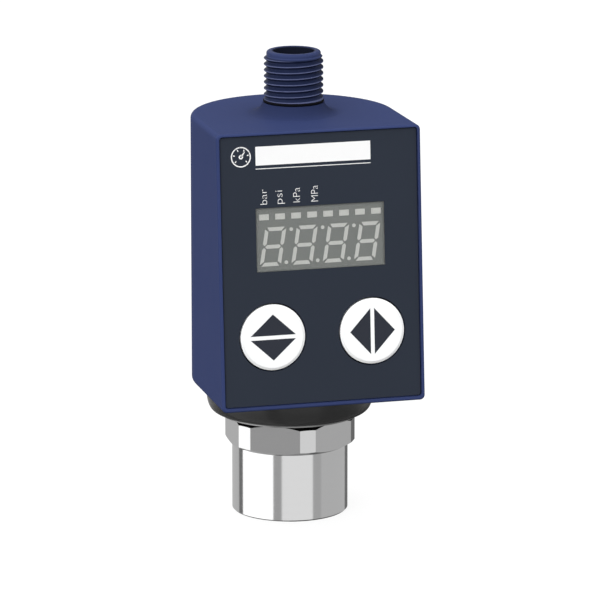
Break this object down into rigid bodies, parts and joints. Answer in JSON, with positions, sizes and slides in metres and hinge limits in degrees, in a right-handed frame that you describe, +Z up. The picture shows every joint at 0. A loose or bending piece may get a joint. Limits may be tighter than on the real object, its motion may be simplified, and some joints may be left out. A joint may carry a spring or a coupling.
{
  "type": "pressure transmitter",
  "caption": "Compact pressure transmitter: steel hexagon fitting with a threaded port, swivelling blue display head with push buttons, round threaded plug connector on top.",
  "frame": {"origin": "centre of the process port's mouth, in the bottom face of the fitting", "axes": "+Z up along the fitting's axis, front with the display towards -Y, +X to the right for someone facing the display"},
  "size_m": [0.041, 0.0428, 0.0935],
  "materials": {
    "turned_steel": "turned stainless steel, satin",
    "washer_polymer": "grey sliding washer",
    "spring_steel": "bright rolled steel",
    "blue_moulding": "satin dark blue moulding",
    "blue_thread": "satin dark blue moulding",
    "black_moulding": "matt black moulding",
    "front_film": "matt dark grey-blue overlay",
    "window_film": "thin clear window",
    "display_body": "mid grey display casting",
    "display_segment": "unlit light grey segment",
    "white_cap": "smooth white moulding",
    "arrow_inlay": "dark grey inlay",
    "seal_rubber": "black seal rubber",
    "cell_ceramic": "dense white ceramic",
    "brass": "turned brass",
    "gold_contact": "plated contact",
    "board": "green circuit board",
    "chip": "black chip package",
    "can": "capacitor can",
    "white_plug": "natural white plug",
    "lead_cover": "wire insulation"
  },
  "bodies": {
    "fitting": {"process_fitting": "turned_steel", "thrust_washer": "washer_polymer", "stop_washer": "spring_steel", "snap_ring": "spring_steel", "cell_seal": "seal_rubber", "pressure_cell": "cell_ceramic", "cell_clamp_ring": "brass", "cell_contacts": "gold_contact", "cell_board": "board", "cell_amplifier": "chip", "cell_header": "white_plug", "lead_plug": "white_plug", "sensor_lead": "lead_cover"},
    "head": {"swivel_base": "black_moulding", "swivel_seal": "seal_rubber", "housing": "blue_moulding", "front_label": "front_film", "display_window": "window_film", "display_module": "display_body", "digit_segments": "display_segment", "digit_points": "display_segment", "indicator_bars": "display_segment", "button_seal_left": "seal_rubber", "button_seal_right": "seal_rubber", "switch_left": "black_moulding", "switch_right": "black_moulding", "display_board": "board", "power_board": "board", "board_screws": "spring_steel", "link_socket": "black_moulding", "link_header": "black_moulding", "link_pins": "gold_contact", "controller_chip": "chip", "output_drivers": "chip", "filter_capacitor": "can", "power_inductor": "chip", "sensor_socket": "white_plug", "connector_shell": "blue_thread", "connector_seal": "seal_rubber", "connector_nut": "brass", "contact_carrier": "black_moulding", "contact_pins": "gold_contact", "connector_board": "board", "connector_link": "gold_contact"},
    "left_button": {"button_left": "white_cap", "button_left_arrows": "arrow_inlay", "plunger_left": "black_moulding"},
    "right_button": {"button_right": "white_cap", "button_right_arrows": "arrow_inlay", "plunger_right": "black_moulding"}
  },
  "joints": [
    {"name": "head_swivel", "type": "hinge", "parent": "fitting", "child": "head", "pos_m": [0, 0, 0.0245], "axis": [0, 0, 1], "range_deg": [-154, 154]},
    {"name": "left_button_press", "type": "slide", "parent": "head", "child": "left_button", "axis": [0, 0.9969, -0.0785], "range_m": [0, 0.0004], "stiffness_N_per_m": 2000},
    {"name": "right_button_press", "type": "slide", "parent": "head", "child": "right_button", "axis": [0, 0.9969, -0.0785], "range_m": [0, 0.0004], "stiffness_N_per_m": 2000}
  ]
}
